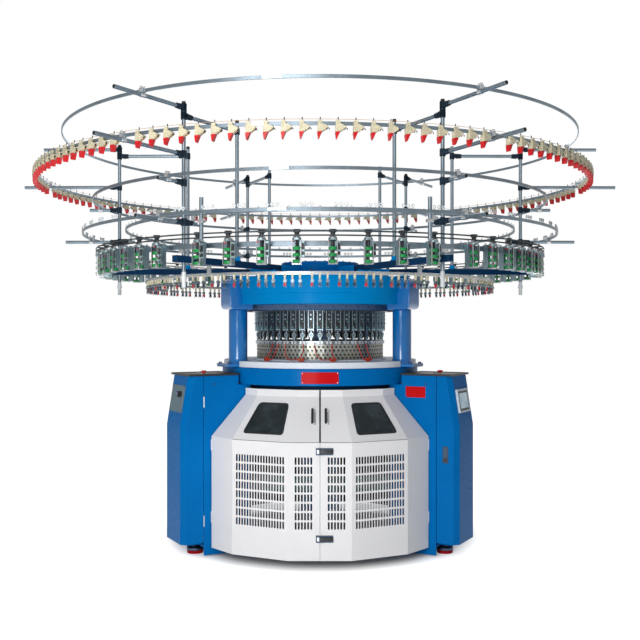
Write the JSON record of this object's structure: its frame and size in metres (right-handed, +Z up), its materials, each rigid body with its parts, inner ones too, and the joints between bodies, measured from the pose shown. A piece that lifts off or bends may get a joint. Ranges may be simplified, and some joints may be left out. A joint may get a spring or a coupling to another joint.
{
  "type": "large circular knitting machine",
  "caption": "Floor-standing circular knitting machine: blue legs and crown, grey gate guard, needle cylinder head and a wide yarn creel of rings.",
  "frame": {"origin": "on the floor, on the vertical axis of the needle cylinder", "axes": "+Z up along the cylinder's axis, the gate faces -Y, +X to the machine's right as seen from the front"},
  "size_m": [4.4496, 4.0007, 2.93],
  "materials": {
    "galvanised_tube": "satin",
    "cast_aluminium": "satin",
    "cream_plastic": "satin",
    "feeder_metal": "satin",
    "green_plastic": "gloss",
    "black_plastic": "satin",
    "belt_rubber": "matte",
    "blue_paint": "gloss",
    "machined_steel": "satin",
    "light_grey_paint": "satin",
    "dark_window": "gloss",
    "red_paint": "gloss",
    "red_plastic": "gloss",
    "teal_paint": "satin",
    "grey_plastic": "satin"
  },
  "bodies": {
    "frame": {"top_ring": "galvanised_tube", "detector_ring": "galvanised_tube", "middle_ring": "galvanised_tube", "eyelet_ring": "galvanised_tube", "inner_ring": "galvanised_tube", "lower_detector_ring": "galvanised_tube", "outer_posts": "galvanised_tube", "inner_posts": "galvanised_tube", "creel_arms": "galvanised_tube", "creel_clamps": "cast_aluminium", "yarn_detectors": "cream_plastic", "lower_detectors": "cast_aluminium", "feeder_rail": "galvanised_tube", "feeder_housings": "feeder_metal", "feeder_wheels": "green_plastic", "feeder_pulleys": "black_plastic", "feeder_belts": "belt_rubber", "crown": "blue_paint", "crown_sockets": "blue_paint", "radial_beams": "blue_paint", "crown_skirt": "machined_steel", "column_left": "blue_paint", "column_right": "blue_paint", "column_rear": "blue_paint", "carrier_ring": "machined_steel", "yarn_carriers": "machined_steel", "cap_ring": "machined_steel", "cam_boxes": "machined_steel", "table": "blue_paint", "table_cover": "light_grey_paint", "leg_left": "blue_paint", "leg_right": "blue_paint", "leg_rear": "blue_paint", "levelling_feet": "red_paint", "cabinet_top_left": "black_plastic", "cabinet_top_right": "black_plastic", "rear_guards": "light_grey_paint", "hinge_barrels": "machined_steel", "electrical_panel": "grey_plastic", "drive_motor": "blue_paint", "drive_belt": "belt_rubber"},
    "gate_left": {"door_left": "light_grey_paint", "window_left": "dark_window"},
    "gate_right": {"door_right": "light_grey_paint", "window_right": "dark_window"},
    "upper_latch": {"upper_latch": "black_plastic"},
    "lower_latch": {"lower_latch": "black_plastic"},
    "cover_left": {"cabinet_cover_left": "blue_paint"},
    "main_switch": {"main_switch": "black_plastic"},
    "cover_right": {"cabinet_cover_right": "blue_paint", "touch_panel": "grey_plastic"},
    "rotor": {"needle_cylinder": "machined_steel", "takedown_frame": "machined_steel"},
    "roller_front": {"takedown_roller_front": "belt_rubber"},
    "roller_rear": {"takedown_roller_rear": "belt_rubber"},
    "cloth_roller": {"cloth_roller": "teal_paint"},
    "motor_pulley": {"motor_pulley": "machined_steel"},
    "drive_shaft": {"drive_shaft": "machined_steel"},
    "stop_button_left": {"stop_button_left": "red_plastic"},
    "stop_button_right": {"stop_button_right": "red_plastic"}
  },
  "joints": [
    {"name": "gate_left_hinge", "type": "hinge", "parent": "frame", "child": "gate_left", "pos_m": [-0.73806, -0.61664, 0.6], "axis": [0, 0, 1], "range_deg": [-90, 0]},
    {"name": "gate_right_hinge", "type": "hinge", "parent": "frame", "child": "gate_right", "pos_m": [0.73806, -0.61664, 0.6], "axis": [0, 0, 1], "range_deg": [0, 90]},
    {"name": "upper_latch_hinge", "type": "hinge", "parent": "gate_right", "child": "upper_latch", "pos_m": [0.085, -0.97478, 0.763], "axis": [0, 0, 1], "range_deg": [0, 90]},
    {"name": "lower_latch_hinge", "type": "hinge", "parent": "gate_right", "child": "lower_latch", "pos_m": [0.085, -0.97478, 0.203], "axis": [0, 0, 1], "range_deg": [0, 90]},
    {"name": "cover_left_hinge", "type": "hinge", "parent": "frame", "child": "cover_left", "pos_m": [-0.78495, -0.64372, 0.65], "axis": [0, 0, 1], "range_deg": [0, 90]},
    {"name": "cover_right_hinge", "type": "hinge", "parent": "frame", "child": "cover_right", "pos_m": [0.94995, -0.35793, 0.65], "axis": [0, 0, 1], "range_deg": [0, 90]},
    {"name": "main_switch_turn", "type": "hinge", "parent": "cover_left", "child": "main_switch", "pos_m": [-0.94519, -0.60921, 1.102], "axis": [-0.855, -0.4936, 0.1592], "range_deg": [0, 90]},
    {"name": "cylinder_spin", "type": "hinge", "parent": "frame", "child": "rotor", "pos_m": [0, 0, 1.29], "axis": [0, 0, 1], "continuous": true},
    {"name": "front_roller_spin", "type": "hinge", "parent": "rotor", "child": "roller_front", "pos_m": [0, -0.039, 0.78], "axis": [1, 0, 0], "continuous": true},
    {"name": "rear_roller_spin", "type": "hinge", "parent": "rotor", "child": "roller_rear", "pos_m": [0, 0.039, 0.78], "axis": [1, 0, 0], "continuous": true},
    {"name": "cloth_roller_spin", "type": "hinge", "parent": "rotor", "child": "cloth_roller", "pos_m": [0, 0, 0.39], "axis": [1, 0, 0], "continuous": true},
    {"name": "motor_pulley_spin", "type": "hinge", "parent": "frame", "child": "motor_pulley", "pos_m": [0.77769, -0.449, 0.6], "axis": [0, 0, 1], "continuous": true},
    {"name": "drive_shaft_spin", "type": "hinge", "parent": "frame", "child": "drive_shaft", "pos_m": [0.64432, -0.372, 0.8], "axis": [0, 0, 1], "continuous": true},
    {"name": "stop_button_left_press", "type": "slide", "parent": "frame", "child": "stop_button_left", "axis": [0, 0, -1], "range_m": [0, 0.006], "stiffness_N_per_m": 600, "springref_m": -0.002},
    {"name": "stop_button_right_press", "type": "slide", "parent": "frame", "child": "stop_button_right", "axis": [0, 0, -1], "range_m": [0, 0.006], "stiffness_N_per_m": 600, "springref_m": -0.002}
  ],
  "couplings": [
    {"joint": "front_roller_spin", "follows": "cylinder_spin", "ratio": -0.3},
    {"joint": "rear_roller_spin", "follows": "cylinder_spin", "ratio": 0.3},
    {"joint": "cloth_roller_spin", "follows": "cylinder_spin", "ratio": 0.19},
    {"joint": "drive_shaft_spin", "follows": "cylinder_spin", "ratio": 6},
    {"joint": "motor_pulley_spin", "follows": "cylinder_spin", "ratio": 9.5}
  ]
}
